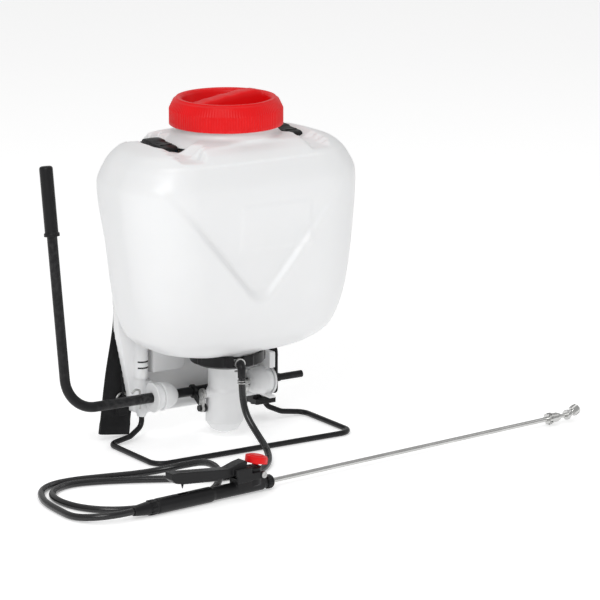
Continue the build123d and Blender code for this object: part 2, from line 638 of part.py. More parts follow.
def make_nozzle_coupling():
    body = along([(683, 8.6), (690, 8.6), (690.5, 7.0), (701, 7.0), (707, 5)])
    for i in range(10):
        body -= Rot(i * 36, 0, 0) * block(682, 688, -1.2, 1.2, 7.2, 10)
    body -= along([(682, LANCE_R + 0.02), (690.2, LANCE_R + 0.02)])
    return gun(body)


def make_nozzle_stem():
    stem = along([(707, 2.9), (727, 2.9)])
    stem += Pos(727, 0, 0) * Sphere(4.6)
    tip = Pos(727, 0, 0) * Rot(0, 65, 0) * Cylinder(4.2, 14, align=(Align.CENTER, Align.CENTER, Align.MIN))
    return gun(stem + tip)


def make_nozzle_ring():
    body = along([(719.5, 6.6), (721, 7.4), (724, 7.4), (725, 6.6)])
    hexa = Pos(719.5, 0, 0) * Rot(0, 90, 0) * extrude(RegularPolygon(7.4, 6), 3)
    body = (body + hexa) - along([(718, 2.96), (722.2, 2.96), (722.2, 4.9), (727, 4.9)])
    return gun(body)


def make_nozzle_cap():
    """Screw cap over the angled tip, with its spray hole."""
    cap = ring(7.2, 4.26, 6.5, 14.2) + Pos(0, 0, 15.6) * Cylinder(7.2, 2.8)
    cap -= Pos(0, 0, 16) * Cylinder(0.8, 8)
    cap -= Pos(0, 0, 17.4) * Cone(1, 3, 2)
    for i in range(8):
        cap += Rot(0, 0, i * 45) * block(6.8, 7.8, -0.9, 0.9, 7.5, 15)
    return gun(Pos(727, 0, 0) * Rot(0, 65, 0) * cap)


# ---------------------------------------------------------------- small seals

def make_lid_gasket():
    return ring(76.5, 67.5, NECK_TOP + 0.3, 497.3)


def make_air_valve():
    valve = Pos(0, 40, RECESS_FLOOR) * Cylinder(8, 3, align=(Align.CENTER, Align.CENTER, Align.MIN))
    return valve + Pos(0, 40, 479) * Cylinder(2.95, 6)


NODES = {
    "tank": make_tank,
    "tank_base": make_base,
    "lid": make_lid,
    "lid_gasket": make_lid_gasket,
    "lid_air_valve": make_air_valve,
    "strainer_basket": make_strainer,
    "stand_wire": make_stand,
    "stand_clamp": make_stand_clamp,
    "strap_left": lambda: make_strap(-1),
    "strap_right": lambda: make_strap(1),
    "strap_anchors": make_strap_anchors,
    "strap_rings": make_strap_rings,
    "strap_tabs": make_strap_tabs,
    "strap_hooks": make_strap_hooks,
    "clamp_ring": make_clamp_ring,
    "flange_seal": make_flange_seal,
    "pump_head": make_pump_head,
    "pressure_chamber": make_pressure_chamber,
    "piston_tube": make_piston_tube,
    "piston": make_piston,
    "piston_seal": make_piston_seal,
    "valve_ball": make_valve_ball,
    "pump_cylinder": make_cylinder,
    "lug_pins": make_lug_pins,
    "link_left": lambda: make_link(-1),
    "link_right": lambda: make_link(1),
    "pump_shaft": make_shaft,
    "bearing_bush_left": lambda: make_bush(-1),
    "bearing_bush_right": lambda: make_bush(1),
    "side_plate": make_side_plate,
    "side_plate_screws": make_side_plate_screws,
    "lever_tube": make_lever_tube,
    "lever_grip": make_lever_grip,
    "lever_clip": make_lever_clip,
    "outlet_elbow": make_elbow,
    "hose_clamps": make_hose_clamps,
    "hose": make_hose,
    "hose_nut": make_hose_nut,
    "gun_body": make_gun_body,
    "trigger_lever": make_trigger,
    "trigger_pin": make_trigger_pin,
    "valve_stem": make_valve_stem,
    "lock_knob": make_lock_knob,
    "lance_nut": make_lance_nut,
    "lance_tube": make_lance,
    "nozzle_coupling": make_nozzle_coupling,
    "nozzle_stem": make_nozzle_stem,
    "nozzle_ring": make_nozzle_ring,
    "nozzle_cap": make_nozzle_cap,
}

os.makedirs("parts", exist_ok=True)
for name, make in NODES.items():
    export_step(make(), f"parts/{name}.step")
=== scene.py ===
import json
import math

import bmesh
import bpy
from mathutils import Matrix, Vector


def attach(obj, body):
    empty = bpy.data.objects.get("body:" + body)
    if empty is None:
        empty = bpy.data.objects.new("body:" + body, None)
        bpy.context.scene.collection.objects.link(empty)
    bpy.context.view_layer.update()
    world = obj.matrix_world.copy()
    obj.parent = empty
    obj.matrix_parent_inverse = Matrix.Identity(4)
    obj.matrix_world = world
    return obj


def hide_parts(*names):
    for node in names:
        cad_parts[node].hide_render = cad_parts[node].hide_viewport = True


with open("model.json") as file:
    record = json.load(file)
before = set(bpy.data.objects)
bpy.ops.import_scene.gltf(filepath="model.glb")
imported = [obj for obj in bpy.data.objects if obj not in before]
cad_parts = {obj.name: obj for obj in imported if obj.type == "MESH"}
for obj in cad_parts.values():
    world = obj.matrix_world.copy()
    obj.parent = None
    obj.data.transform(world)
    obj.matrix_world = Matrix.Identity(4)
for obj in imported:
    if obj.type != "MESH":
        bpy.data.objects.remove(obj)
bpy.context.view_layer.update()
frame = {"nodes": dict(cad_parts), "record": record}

NODES = frame["nodes"]
MM = 0.001

# ------------------------------------------------------------------ camera

AZ, EL = math.radians(-31.7), math.radians(13.1)
BACK = Vector((math.sin(AZ) * math.cos(EL), -math.cos(AZ) * math.cos(EL), math.sin(EL)))
RIGHT = Vector((math.cos(AZ), math.sin(AZ), 0.0))
UP = BACK.cross(RIGHT)
FOCAL_PX = 3978.0

cam_data = bpy.data.cameras.new("camera")
cam_data.sensor_width = 36.0
cam_data.lens = FOCAL_PX / 600.0 * 36.0
cam_data.clip_start, cam_data.clip_end = 0.1, 100.0
camera = bpy.data.objects.new("camera", cam_data)
bpy.context.scene.collection.objects.link(camera)
bpy.context.scene.camera = camera
camera.location = Vector((0, 0, 0.25)) + BACK * 5.742
aim = RIGHT * (73.1 / FOCAL_PX) - UP * (28.9 / FOCAL_PX) - BACK
camera.rotation_mode = "QUATERNION"
camera.rotation_quaternion = aim.to_track_quat("-Z", "Y")


# ------------------------------------------------------------------ materials

def new_material(name):
    mat = bpy.data.materials.new(name)
    mat.use_nodes = True
    tree = mat.node_tree
    return mat, tree.nodes, tree.links, tree.nodes["Principled BSDF"]


def add_node(nodes, kind, **values):
    node = nodes.new(kind)
    for key, value in values.items():
        if key in node.inputs:
            node.inputs[key].default_value = value
        else:
            setattr(node, key, value)
    return node


def noise(nodes, links, coord, scale, detail=3.0):
    node = add_node(nodes, "ShaderNodeTexNoise", Scale=scale, Detail=detail, Roughness=0.55)
    links.new(coord, node.inputs["Vector"])
    return node.outputs["Fac"]


def ramp(nodes, links, fac, stops):
    node = nodes.new("ShaderNodeValToRGB")
    ramp_stops = node.color_ramp.elements
    while len(ramp_stops) < len(stops):
        ramp_stops.new(0.5)
    for stop, (at, colour) in zip(ramp_stops, stops):
        stop.position = at
        stop.color = (*colour, 1.0)
    links.new(fac, node.inputs["Fac"])
    return node.outputs["Color"]


def shade(colour, k):
    return tuple(min(1.0, c * k) for c in colour)


def surface(name, colour, rough=0.4, spread=0.08, patch=18.0, grain=900.0, bump=0.15, depth=0.0002,
            metallic=0.0, wear=0.0, subsurface=0.0, specular=0.5, scratches=0.0, tint=0.94):
    """A finish with patches of colour, uneven gloss, a fine bump and lighter worn edges."""
    mat, nodes, links, bsdf = new_material(name)
    coord = nodes.new("ShaderNodeTexCoord").outputs["Object"]
    patches = noise(nodes, links, coord, patch, 4.0)
    base = ramp(nodes, links, patches, [(0.3, shade(colour, tint)), (0.7, colour)])
    if wear:
        geometry = nodes.new("ShaderNodeNewGeometry")
        edge = ramp(nodes, links, geometry.outputs["Pointiness"], [(0.52, (0, 0, 0)), (0.6, (1, 1, 1))])
        broken = nodes.new("ShaderNodeMixRGB")
        broken.blend_type = "MULTIPLY"
        broken.inputs["Fac"].default_value = 1.0
        links.new(edge, broken.inputs["Color1"])
        spots = ramp(nodes, links, noise(nodes, links, coord, 160.0), [(0.42, (0, 0, 0)), (0.62, (1, 1, 1))])
        links.new(spots, broken.inputs["Color2"])
        worn = nodes.new("ShaderNodeMixRGB")
        worn.inputs["Color2"].default_value = (*[c + (1 - c) * wear for c in colour], 1.0)
        links.new(broken.outputs["Color"], worn.inputs["Fac"])
        links.new(base, worn.inputs["Color1"])
        base = worn.outputs["Color"]
    links.new(base, bsdf.inputs["Base Color"])
    gloss = nodes.new("ShaderNodeMapRange")
    gloss.inputs["To Min"].default_value = max(0.03, rough - spread)
    gloss.inputs["To Max"].default_value = min(1.0, rough + spread)
    links.new(noise(nodes, links, coord, patch * 3.1), gloss.inputs["Value"])
    links.new(gloss.outputs["Result"], bsdf.inputs["Roughness"])
    fine = noise(nodes, links, coord, grain, 2.0)
    height = fine
    if scratches:
        stretch = nodes.new("ShaderNodeMapping")
        stretch.inputs["Scale"].default_value = (30.0, 30.0, 1200.0)
        links.new(coord, stretch.inputs["Vector"])
        lines = noise(nodes, links, stretch.outputs["Vector"], 1.0, 2.0)
        mix = nodes.new("ShaderNodeMath")
        mix.operation = "MULTIPLY_ADD"
        mix.inputs[1].default_value = scratches
        links.new(lines, mix.inputs[0])
        links.new(fine, mix.inputs[2])
        height = mix.outputs["Value"]
    relief = add_node(nodes, "ShaderNodeBump", Strength=bump, Distance=depth)
    links.new(height, relief.inputs["Height"])
    links.new(relief.outputs["Normal"], bsdf.inputs["Normal"])
    bsdf.inputs["Metallic"].default_value = metallic
    bsdf.inputs["Specular IOR Level"].default_value = specular
    bsdf.inputs["Subsurface Weight"].default_value = subsurface
    bsdf.inputs["Subsurface Radius"].default_value = (0.012, 0.011, 0.010)
    bsdf.inputs["Subsurface Scale"].default_value = 1.0
    return mat


def webbing(name, colour):
    """Woven strap: crossed ribs, a soft sheen, painted shade in the gaps and a painted highlight on the ribs.
    """
    mat, nodes, links, bsdf = new_material(name)
    coord = nodes.new("ShaderNodeTexCoord").outputs["Object"]
    waves = []
    for axis, scale in (("X", 330.0), ("Z", 260.0)):
        wave = add_node(nodes, "ShaderNodeTexWave", Scale=scale, Distortion=0.6, Detail=1.0)
        wave.bands_direction = axis
        links.new(coord, wave.inputs["Vector"])
        waves.append(wave.outputs["Fac"])
    weave = nodes.new("ShaderNodeMath")
    weave.operation = "MULTIPLY"
    links.new(waves[0], weave.inputs[0])
    links.new(waves[1], weave.inputs[1])
    # Painted shade and highlight: the colour is darker in the weave's gaps and lighter on its ribs, following
    # the bump's height.
    stops = [(0.0, shade(colour, 0.6)), (0.8, shade(colour, 1.5))]
    links.new(ramp(nodes, links, weave.outputs["Value"], stops),
              bsdf.inputs["Base Color"])
    gloss = nodes.new("ShaderNodeMapRange")
    gloss.inputs["To Min"].default_value = 0.7
    gloss.inputs["To Max"].default_value = 0.95
    links.new(noise(nodes, links, coord, 60.0), gloss.inputs["Value"])
    links.new(gloss.outputs["Result"], bsdf.inputs["Roughness"])
    relief = add_node(nodes, "ShaderNodeBump", Strength=0.6, Distance=0.0006)
    links.new(weave.outputs["Value"], relief.inputs["Height"])
    links.new(relief.outputs["Normal"], bsdf.inputs["Normal"])
    bsdf.inputs["Sheen Weight"].default_value = 0.08
    bsdf.inputs["Specular IOR Level"].default_value = 0.25
    return mat


FINISH = {
    "tank_white": surface("tank_white", (0.85, 0.855, 0.86), 0.36, 0.06, 9.0, 700.0, 0.10, 0.0003,
                          subsurface=0.12, tint=0.975),
    "pump_white": surface("pump_white", (0.82, 0.825, 0.83), 0.36, 0.07, 22.0, 1100.0, 0.10, tint=0.95),
    "lid_red": surface("lid_red", (0.80, 0.008, 0.010), 0.38, 0.06, 30.0, 1300.0, 0.12, wear=0.05, tint=0.92,
                       specular=0.18),
    "black_plastic": surface("black_plastic", (0.011, 0.011, 0.012), 0.36, 0.09, 40.0, 1500.0, 0.3,
                             0.0002, wear=0.03, tint=0.8, specular=0.22),
    "black_steel": surface("black_steel", (0.010, 0.010, 0.011), 0.32, 0.07, 30.0, 800.0, 0.15,
                           0.0002, wear=0.03, tint=0.8, specular=0.25),
    "hose_rubber": surface("hose_rubber", (0.010, 0.010, 0.011), 0.26, 0.07, 25.0, 600.0, 0.12,
                           0.0002, tint=0.8, specular=0.5),
    "seal_rubber": surface("seal_rubber", (0.022, 0.022, 0.022), 0.6, 0.1, 40.0, 900.0, 0.2, tint=0.85),
    "webbing": webbing("webbing", (0.011, 0.011, 0.012)),
    "zinc_steel": surface("zinc_steel", (0.50, 0.50, 0.49), 0.34, 0.1, 60.0, 1400.0, 0.2, 0.0001,
                          metallic=1.0, wear=0.2, tint=0.8),
    "lance_steel": surface("lance_steel", (0.62, 0.62, 0.61), 0.2, 0.07, 30.0, 1200.0, 0.12, 0.0001,
                           metallic=1.0, scratches=1.5, tint=0.85),
    "basket_plastic": surface("basket_plastic", (0.72, 0.72, 0.70), 0.4, 0.07, 30.0, 1000.0, 0.12, tint=0.94),
}
# Near-black finish for painted shade: it stands in for the shadow inside the wire sockets' slots.
SLOT_SHADE_FINISH = surface("painted_slot_shade", (0.012, 0.012, 0.012), 0.7, 0.1, 40.0, 900.0, 0.2, tint=0.8)
SLOT_OF = {row["node"]: row["material_slot"] for row in frame["record"]["subparts"]}


# ------------------------------------------------------------------ mesh helpers

def to_object(name, mesh, body, slot, replaces=(), sharp=None):
    obj = bpy.data.objects.new(name, mesh)
    bpy.context.scene.collection.objects.link(obj)
    mesh.materials.clear()
    mesh.materials.append(FINISH[slot])
    mesh.polygons.foreach_set("use_smooth", [True] * len(mesh.polygons))
    if sharp is not None:
        mesh.set_sharp_from_angle(angle=math.radians(sharp))
    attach(obj, body)
    if replaces:
        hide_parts(*replaces)
    return obj


def loft_mesh(name, rings, closed=False, caps=True):
    """A mesh through rings of points with equal counts. closed joins the last ring to the first."""
    verts = [p for ring in rings for p in ring]
    n, m = len(rings[0]), len(rings)
    faces = []
    for j in range(m if closed else m - 1):
        k = (j + 1) % m
        for i in range(n):
            i2 = (i + 1) % n
            faces.append((j * n + i, j * n + i2, k * n + i2, k * n + i))
    if caps and not closed:
        faces.append(tuple(reversed(range(n))))
        faces.append(tuple((m - 1) * n + i for i in range(n)))
    mesh = bpy.data.meshes.new(name)
    mesh.from_pydata([tuple(v) for v in verts], [], faces)
    mesh.update()
    fixed = bmesh.new()
    fixed.from_mesh(mesh)
    bmesh.ops.recalc_face_normals(fixed, faces=fixed.faces)
    fixed.to_mesh(mesh)
    fixed.free()
    return mesh


def joined(name, meshes):
    made = bmesh.new()
    for mesh in meshes:
        made.from_mesh(mesh)
    out = bpy.data.meshes.new(name)
    made.to_mesh(out)
    made.free()
    return out


def remeshed(name, meshes, voxel, smooth):
    """One moulded skin round the given closed meshes, with softened edges."""
    work = bpy.data.objects.new(name + "_work", joined(name, meshes))
    bpy.context.scene.collection.objects.link(work)
    skin = work.modifiers.new("skin", "REMESH")
    skin.mode = "VOXEL"
    skin.voxel_size = voxel
    soft = work.modifiers.new("soft", "SMOOTH")
    soft.factor = 0.5
    soft.iterations = smooth
    depsgraph = bpy.context.evaluated_depsgraph_get()
    mesh = bpy.data.meshes.new_from_object(work.evaluated_get(depsgraph))
    bpy.data.objects.remove(work)
    mesh.name = name
    return mesh


def body_of(node):
    for body, nodes in frame["record"]["behaviour"]["bodies"].items():
        if node in nodes:
            return body
    return None


def moulded(node, voxel_mm, smooth):
    """Replaces a CAD node by the same shape with softened, moulded edges."""
    mesh = remeshed(node + "_moulded", [NODES[node].data], voxel_mm * MM, smooth)
    return to_object(node + "_moulded", mesh, body_of(node), SLOT_OF[node], [node])


# ------------------------------------------------------------------ hose

HOSE_ROUTE = [
    (-15.5, -65, 108), (-15.5, -65, 82), (-14, -74, 54), (-9, -95, 31), (-9, -123, 14), (-25, -154, 6),
    (-52, -180, 5), (-88, -191, 5), (-126, -186, 5), (-162, -167, 5), (-198, -146, 5), (-238, -125, 5),
    (-280, -107, 5), (-317, -98, 5), (-349, -109, 5), (-370.5, -135.5, 5), (-374.5, -171, 5),
    (-365, -208, 5), (-341, -238, 5), (-306, -254, 5), (-262, -255, 5), (-216, -251, 5), (-179, -246, 7.5),
    (-151.5, -227, 16), (-138, -198, 25.5), (-138.5, -163, 25.5), (-154, -134, 16), (-180, -115, 8),
    (-215, -105, 5), (-258, -94.5, 5), (-305, -84, 5), (-344, -87, 5), (-372, -108, 5), (-388, -142, 5),
    (-394, -170, 5), (-395.6, -200, 5), (-396.3, -232.6, 5), (-390.2, -251.1, 6), (-378.3, -266.5, 8),
    (-362, -277.1, 10), (-343, -281.6, 11), (-323.6, -279.5, 11),
]


def make_hose():
    curve = bpy.data.curves.new("spray_hose", "CURVE")
    curve.dimensions = "3D"
    spline = curve.splines.new("NURBS")
    spline.points.add(len(HOSE_ROUTE) - 1)
    for point, (x, y, z) in zip(spline.points, HOSE_ROUTE):
        point.co = (x * MM, y * MM, z * MM, 1.0)
    spline.order_u = 3
    spline.use_endpoint_u = True
    spline.resolution_u = 16
    curve.bevel_depth = 5.0 * MM
    curve.bevel_resolution = 6
    curve.use_fill_caps = True
    hose = bpy.data.objects.new("spray_hose", curve)
    bpy.context.scene.collection.objects.link(hose)
    curve.materials.append(FINISH["hose_rubber"])
    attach(hose, "frame")
    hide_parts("hose")
    return hose


make_hose()


# ------------------------------------------------------------------ tank with its skirt

TANK_SECTIONS = [
    (138, 84, 46, 46, 40), (148, 123, 65, 62, 55), (172, 156, 86, 80, 70), (231, 174, 103, 90, 80),
    (302, 184, 108, 93, 85), (391, 191, 106, 104, 85), (421, 179, 98, 98, 80), (440, 160, 88, 91, 76),
    (450, 130, 76, 83, 70),
]
CORNER_STEPS, LONG_STEPS, SHORT_STEPS = 80, 96, 24


def slopes(xs, ys):
    """Monotone cubic slopes, so that the sides bulge smoothly without overshooting."""
    secants = [(y2 - y1) / (x2 - x1) for x1, x2, y1, y2 in zip(xs, xs[1:], ys, ys[1:])]
    out = [secants[0]]
    for a, b in zip(secants, secants[1:]):
        out.append(0.0 if a * b <= 0 else 2 * a * b / (a + b))
    return out + [secants[-1]]


def section_at(z):
    zs = [row[0] for row in TANK_SECTIONS]
    k = max(i for i in range(len(zs) - 1) if zs[i] <= z)
    h = zs[k + 1] - zs[k]
    t = (z - zs[k]) / h
    values = []
    for column in range(1, 5):
        ys = [row[column] for row in TANK_SECTIONS]
        m = slopes(zs, ys)
        values.append((2 * t**3 - 3 * t**2 + 1) * ys[k] + (t**3 - 2 * t**2 + t) * h * m[k]
                      + (-2 * t**3 + 3 * t**2) * ys[k + 1] + (t**3 - t**2) * h * m[k + 1])
    return values


def rounded_ring(z, half, front, back, r):
    """Points of a rounded rectangle at one height, with equal counts whatever its size."""
    r = min(r, half, (front + back) / 2)
    corners = [(half - r, back - r, 0), (-(half - r), back - r, 90), (-(half - r), -(front - r), 180),
               (half - r, -(front - r), 270)]
    points = []
    for i, (cx, cy, start) in enumerate(corners):
        for k in range(CORNER_STEPS):
            a = math.radians(start + 90.0 * k / CORNER_STEPS)
            points.append(Vector((cx + r * math.cos(a), cy + r * math.sin(a), z)))
        a = math.radians(start + 90)
        edge_start = Vector((cx + r * math.cos(a), cy + r * math.sin(a), z))
        nx, ny, _ = corners[(i + 1) % 4]
        edge_end = Vector((nx + r * math.cos(a), ny + r * math.sin(a), z))
        steps = LONG_STEPS if i % 2 == 0 else SHORT_STEPS
        for k in range(steps):
            points.append(edge_start.lerp(edge_end, k / steps))
    return points


def smoothstep(a, b, x):
    t = min(1.0, max(0.0, (x - a) / (b - a)))
    return t * t * (3 - 2 * t)


def side_of(x, z, start, end):
    """Signed distance from a line in the front's plane, positive above it."""
    dx, dz = end[0] - start[0], end[1] - start[1]
    return (dx * (z - start[1]) - dz * (x - start[0])) / math.hypot(dx, dz)


def front_relief(x, z):
    """How far the front is set back: a shallow V panel, and a faint blank label field."""
    left = side_of(x, z, (-122, 360), (-6, 224))
    right = side_of(x, z, (-6, 224), (118, 372))
    blend = max(30.0 - abs(left - right), 0.0) / 30.0
    inside = min(left, right) + 4.0 - 7.5 * blend * blend
    fade = 1.0 - 0.8 * smoothstep(300, 385, z)
    depth = 9.5 * smoothstep(-5, 9, inside) * fade
    label = min(x + 38, 80 - x, z - 300, 368 - z)
    return depth - 1.2 * smoothstep(0, 2.5, label)


def tank_point(p, outer):
    """Shapes one skin point: the front's relief and the shoulder grooves."""
    x, y, z = p
    if y < -50 and 150 < z < 430:
        y += front_relief(x, z) * smoothstep(-55, -78, y) * smoothstep(182, 150, abs(x))
    margin = 0.0 if outer else 6.0
    floor = 441.0 - 6.0 * smoothstep(-38, -80, y) - 25.0 * smoothstep(43, 50, y) - margin
    if z > floor:
        across = smoothstep(20.5 + margin, 15.7 + margin, abs(abs(x) - 105.0))
        z = z + (floor - z) * across
    return Vector((x, y, z)) * MM


def circle_ring(z, r):
    return rounded_ring(z, r, r, r, r)


def tank_shell():
    outer = [circle_ring(138, 44)]
    heights = [138, 139.5, 141.5, 144, 148] + [148 + 3.0 * k for k in range(1, 101)] + [450]
    outer += [rounded_ring(z, *section_at(min(z, 450))) for z in heights]
    outer += [rounded_ring(452, 114, 75.5, 80, 69), rounded_ring(453.5, 96, 75, 77, 72)]
    outer += [circle_ring(456, 77), circle_ring(460, 74), circle_ring(468, 73), circle_ring(494, 73)]
    inner = [circle_ring(494, 69), circle_ring(466, 69), circle_ring(448, 69)]
    for z in [449] + [447 - 3.0 * k for k in range(98)] + [153]:
        half, front, back, r = section_at(z)
        inset = 6.0 + 4.0 * smoothstep(415, 446, z)
        lower = z - 7.0 * smoothstep(380, 440, z) + 7.0 * smoothstep(235, 160, z)
        inner.append(rounded_ring(lower, half - inset, front - inset, back - inset, r - inset))
    inner.append(circle_ring(147, 44))
    rings = [[tank_point(p, True) for p in ring] for ring in outer]
    rings += [[tank_point(p, False) for p in ring] for ring in inner]
    return loft_mesh("shell", rings, closed=True)


def collar(z0, z1, r_outer, r_inner):
    corners = [(z0, r_outer), (z1, r_outer), (z1, r_inner), (z0, r_inner)]
    rings = [circle_ring(z, r) for z, r in corners]
    return loft_mesh("collar", [[p * MM for p in ring] for ring in rings], closed=True)


def prism(outline, y0, y1):
    """A slab with the given (x, z) outline between two depths."""
    rings = [[Vector((x, y, z)) * MM for x, z in outline] for y in (y0, y1)]
    return loft_mesh("prism", rings)


def slab(x0, x1, y0, y1, z0, z1):
    return prism([(x0, z0), (x1, z0), (x1, z1), (x0, z1)], y0, y1)


def tube(start, end, r_outer, r_inner=0.0):
    """A straight tube, or a solid bar if it has no bore."""
    a, b = Vector(start), Vector(end)
    turn = Vector((0, 0, 1)).rotation_difference(b - a)
    count = 48
    circles = []
    for r, at in ((r_outer, a), (r_outer, b), (r_inner, b), (r_inner, a)):
        circles.append([(at + turn @ Vector((r * math.cos(2 * math.pi * i / count),
                                             r * math.sin(2 * math.pi * i / count), 0))) * MM
                        for i in range(count)])
    if r_inner:
        return loft_mesh("tube", circles, closed=True)
    return loft_mesh("bar", circles[:2])


SHAFT_Y, SHAFT_Z = 45.0, 66.0
LEG = [(99, 40), (116, 40), (120, 62), (129, 106), (138, 150), (141.5, 168), (142.5, 235), (99, 235)]


def skirt_parts():
    """The skirt under the tank: panels, side legs, wire sockets and bearing walls."""
    parts = [
        slab(-112, 112, 78, 86, 40, 160), slab(-98, 98, 60, 67, 40, 44), slab(-98, 98, 60, 79, 40, 46),
        slab(-56, 56, 61, 67, 42, 62), slab(56, 98, 62, 67, 42, 50), slab(-98, -60, 62, 67, 42, 50),
        slab(88, 98.2, 24, 58, 88, 112), slab(88, 98.2, 58, 80, 42, 112), slab(88, 98.2, 24, 58, 42, 46),
        prism([(-89, 97), (-41, 97), (-36, 99.5), (-33.5, 104), (-33, 110), (-33, 160), (-89, 160)], 61, 80),
    ]
    for side in (-1, 1):
        parts.append(prism([(side * x, z) for x, z in LEG], 72, 86))
        parts.append(tube((side * 106, 66, 34), (side * 106, 66, 94), 7.2, 4.3))
        parts.append(tube((side * 106, 66, 92), (side * 106, 66, 172), 10.0, 4.3))
        parts.append(tube((side * 106, 66, 122), (side * 106, 66, 172), 6.0))
        parts.append(tube((side * 88, SHAFT_Y, SHAFT_Z), (side * 98.2, SHAFT_Y, SHAFT_Z), 20.0, 15.3))
        low, high = sorted((side * 88, side * 98.2))
        parts.append(slab(low, high, 62, 80, 46, 86))
    return parts


def make_tank():
    parts = [
        tank_shell(), collar(134, 146, 50, 44), collar(465, 468, 71, 63.5),
        collar(475, 477.5, 75.2, 72), collar(484, 486.5, 75.2, 72),
    ]
    voxel = 2.0
    mesh = remeshed("tank_skin", parts + skirt_parts(), voxel * MM, 6)
    return to_object("tank_skin", mesh, "frame", "tank_white", ["tank", "tank_base"])


def make_socket_slot_shade():
    """Painted shade: two near-black bands across the front of each wire socket stand in for the shadow inside
    its slots; no slot is cut in the socket.
    """
    bands = []
    for side in (-1, 1):
        for z in (107.4, 116.4):
            rings = []
            for k in range(25):
                a = math.radians(-150 + 120 * k / 24)
                c, s = math.cos(a), math.sin(a)
                rings.append([Vector((side * 106 + r * c, 66 + r * s, h)) * MM
                              for r, h in ((9.2, z), (10.1, z), (10.1, z + 2.2), (9.2, z + 2.2))])
            bands.append(loft_mesh("band", rings))
    obj = to_object("socket_slot_shade", joined("socket_slot_shade", bands), "frame", "black_plastic")
    # The bands take the near-black finish as painted shade for the slot openings.
    obj.data.materials[0] = SLOT_SHADE_FINISH


make_tank()
make_socket_slot_shade()


# ------------------------------------------------------------------ lid

def make_lid():
    """Ribbed screw lid with a dished top; the raised grip bar is made separately by make_grip_bar."""
    profile = [
        (0, 478), (58, 478), (64, 478.6), (65, 480), (65, 497.6), (78.5, 497.6), (78.5, 468.4), (79, 468),
        (81.4, 468), (82, 468.6), (82, 474.5), (82, 474.8), (82, 490.6), (81.9, 491.0), (81.6, 491.6),
        (76.4, 502.6), (76.0, 503.2), (75.4, 503.7), (72.9, 504.9), (72.5, 505.3), (72.1, 506.4), (71.6, 507),
        (69, 507), (66.4, 506.6), (64.2, 504.6), (63, 501.5), (62.2, 486),
        (60.5, 482.2), (57, 481), (0, 481),
    ]
    count = 756
    rings = []
    for r, z in profile:
        ring = []
        for i in range(count):
            a = 2 * math.pi * i / count
            rib = 0.5 + 0.5 * math.cos(126 * a)
            deep = 0.7 * rib if r > 81.5 and 471 < z < 494 else 0.0
            ring.append(Vector(((r - deep) * math.cos(a), (r - deep) * math.sin(a), z)) * MM)
        rings.append(ring)
    dish = loft_mesh("lid_dish", rings[1:-1], caps=True)
    return dish


GRIP_TOPS = [
    (-62, 497.5), (-45, 503), (-30, 505.8), (0, 509.8), (25, 513), (42, 514.3), (52, 512.5), (62, 502),
]


def grip_top(x):
    for (x0, z0), (x1, z1) in zip(GRIP_TOPS, GRIP_TOPS[1:]):
        if x <= x1:
            return z0 + (z1 - z0) * smoothstep(x0, x1, x)
    return GRIP_TOPS[-1][1]


def make_grip_bar():
    """The bar across the lid's dish, crowned along its length, with rounded edges."""
    rings = []
    steps = 48
    for k in range(steps + 1):
        x = -62.0 + 124.0 * k / steps
        t = abs(x) / 62.0
        top = grip_top(x)
        half = 13.0 - 1.5 * t * t
        ring = []
        for i in range(40):
            a = 2 * math.pi * i / 40
            c, s = math.cos(a), math.sin(a)
            y = half * math.copysign(abs(c) ** 0.45, c)
            z = (top + 480.0) / 2 + (top - 480.0) / 2 * math.copysign(abs(s) ** 0.45, s)
            ring.append(Vector((x, y, z)) * MM)
        rings.append(ring)
    return loft_mesh("bar", rings)


lid_mesh = joined("lid_skin", [make_lid(), make_grip_bar()])
to_object("lid_skin", lid_mesh, "lid", "lid_red", ["lid"], sharp=38)


# ------------------------------------------------------------------ straps

def strap_rows(side):
    top = [
        (side * 105, 36, 444.6, 27), (side * 105, 45, 443.4, 27), (side * 105, 56, 431, 27),
        (side * 105, 76, 421.5, 28), (side * 105, 96, 419, 28), (side * 106, 110, 405, 36),
        (side * 107, 112, 385, 50), (side * 108, 107, 300, 50),
        (side * 106, 103, 215, 50),
    ]
    if side > 0:
        return top + [(106, 100, 165, 50), (106, 97.5, 85, 50), (106, 97, 34.4, 50)]
    return top + [(-108, 100, 165, 50), (-124, 97.5, 85, 50), (-135, 97, 4.4, 50)]


def catmull(p0, p1, p2, p3, t):
    return 0.5 * ((2 * p1) + (p2 - p0) * t + (2 * p0 - 5 * p1 + 4 * p2 - p3) * t * t
                  + (3 * p1 - p0 - 3 * p2 + p3) * t**3)


def strap_path(side):
    rows = [Vector(row) for row in strap_rows(side)]
    padded = [rows[0]] + rows + [rows[-1]]
    out = []
    for k in range(len(rows) - 1):
        for i in range(12):
            out.append(catmull(padded[k], padded[k + 1], padded[k + 2], padded[k + 3], i / 12))
    return out + [rows[-1]]


def make_strap(side, name, node):
    """Flat webbing: bound edges, a sewn channel each side, and a folded hem at its foot."""
    path = strap_path(side)
    rings = []
    for k, row in enumerate(path):
        centre = Vector(row[:3])
        run = Vector(path[min(k + 1, len(path) - 1)][:3]) - Vector(path[max(k - 1, 0)][:3])
        run.normalize()
        across = Vector((1, 0, 0))
        across = (across - run * across.dot(run)).normalized()
        out = run.cross(across)
        half = row[3] / 2
        hem = 2.0 if centre.z < path[-1][2] + 16 else 0.0
        ring = []
        for i in range(56):
            a = 2 * math.pi * i / 56
            c, s = math.cos(a), math.sin(a)
            u = half * math.copysign(abs(c) ** 0.3, c)
            edge = half - abs(u)
            groove = 0.45 * math.exp(-((edge - 5.0) / 0.9) ** 2)
            thick = (2.4 - groove + hem) * abs(s) ** 0.35
            ring.append((centre + across * u + out * math.copysign(thick, s)) * MM)
        rings.append(ring)
    return to_object(name, loft_mesh(name, rings), "frame", "webbing", [node], sharp=60)


make_strap(-1, "strap_left_webbing", "strap_left")
make_strap(1, "strap_right_webbing", "strap_right")


# ------------------------------------------------------------------ moulded plastic and metal pieces

